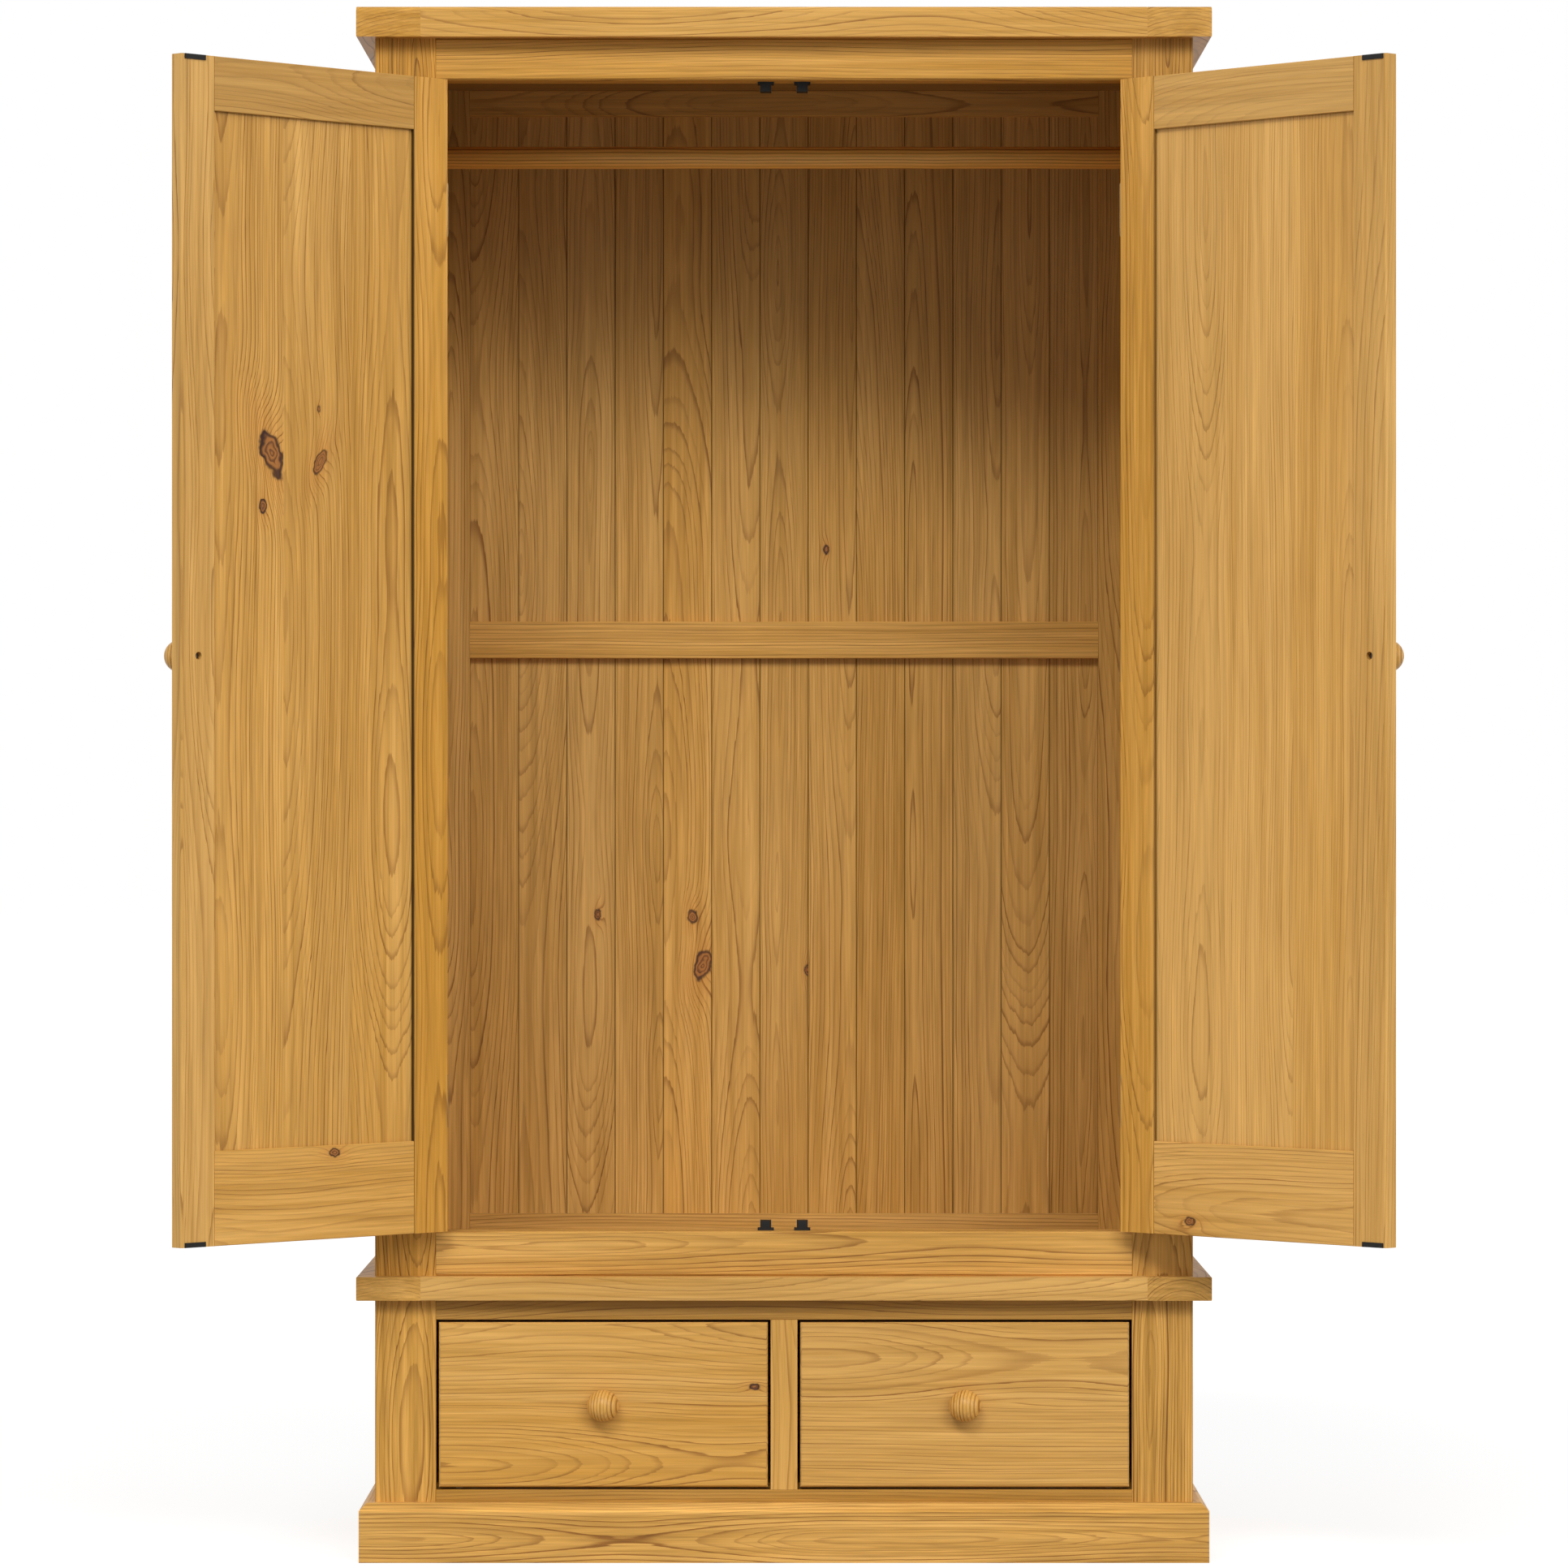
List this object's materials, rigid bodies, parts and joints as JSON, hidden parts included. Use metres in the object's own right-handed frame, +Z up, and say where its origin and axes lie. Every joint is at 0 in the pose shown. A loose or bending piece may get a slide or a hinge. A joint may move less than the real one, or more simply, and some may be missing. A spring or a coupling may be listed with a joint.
{
  "type": "wardrobe with doors",
  "caption": "Honey pine wardrobe: panelled double doors on butt hinges, hanging rail, tongued board back, and a base with drawers.",
  "frame": {"origin": "on the floor, under the partition between the drawers, at the middle of the carcass's width and depth", "axes": "+Z up, -Y towards the front, +X to the right as seen from the front"},
  "size_m": [1.4736, 0.8539, 1.91],
  "materials": {
    "pine": "honey-coloured satin wax and lacquer",
    "catch_black": "black, satin",
    "hinge_steel": "antiqued satin",
    "screw_steel": "zinc plated, dulled"
  },
  "bodies": {
    "root": {"back_boards": "pine", "back_rails": "pine", "back_stiles": "pine", "base_back": "pine", "base_bottom_rail": "pine", "base_sides": "pine", "base_stiles": "pine", "base_top_rail": "pine", "bottom_rail": "pine", "compartment_floor": "pine", "cornice_front": "pine", "cornice_returns": "pine", "drawer_divider": "pine", "drawer_partition": "pine", "drawer_runners": "pine", "hanging_rail": "pine", "hinge_frame_leaves": "hinge_steel", "hinge_frame_screws": "hinge_steel", "hinge_pins": "hinge_steel", "left_stile": "pine", "magnetic_catches": "catch_black", "plinth_front": "pine", "plinth_returns": "pine", "rail_sockets": "pine", "right_stile": "pine", "side_panels": "pine", "top_panel": "pine", "top_rail": "pine", "waist_front": "pine", "waist_returns": "pine"},
    "left_door": {"left_door_bottom_rail": "pine", "left_door_hinge_leaves": "hinge_steel", "left_door_hinge_stile": "pine", "left_door_knob": "pine", "left_door_meeting_stile": "pine", "left_door_panel": "pine", "left_door_screws": "screw_steel", "left_door_strike_plates": "catch_black", "left_door_top_rail": "pine"},
    "right_door": {"right_door_bottom_rail": "pine", "right_door_hinge_leaves": "hinge_steel", "right_door_hinge_stile": "pine", "right_door_knob": "pine", "right_door_meeting_stile": "pine", "right_door_panel": "pine", "right_door_screws": "screw_steel", "right_door_strike_plates": "catch_black", "right_door_top_rail": "pine"},
    "left_drawer": {"left_drawer_back": "pine", "left_drawer_bottom": "pine", "left_drawer_front": "pine", "left_drawer_knob": "pine", "left_drawer_knob_screw": "screw_steel", "left_drawer_sides": "pine"},
    "right_drawer": {"right_drawer_back": "pine", "right_drawer_bottom": "pine", "right_drawer_front": "pine", "right_drawer_knob": "pine", "right_drawer_knob_screw": "screw_steel", "right_drawer_sides": "pine"}
  },
  "joints": [
    {"name": "left_door_hinge", "type": "hinge", "parent": "root", "child": "left_door", "pos_m": [-0.42725, -0.2705, 1.11375], "axis": [0, 0, -1], "range_deg": [-135, 35]},
    {"name": "right_door_hinge", "type": "hinge", "parent": "root", "child": "right_door", "pos_m": [0.42725, -0.2705, 1.11375], "axis": [0, 0, 1], "range_deg": [-135, 35]},
    {"name": "left_drawer_slide", "type": "slide", "parent": "root", "child": "left_drawer", "axis": [0, -1, 0], "range_m": [0, 0.38]},
    {"name": "right_drawer_slide", "type": "slide", "parent": "root", "child": "right_drawer", "axis": [0, -1, 0], "range_m": [0, 0.38]}
  ]
}
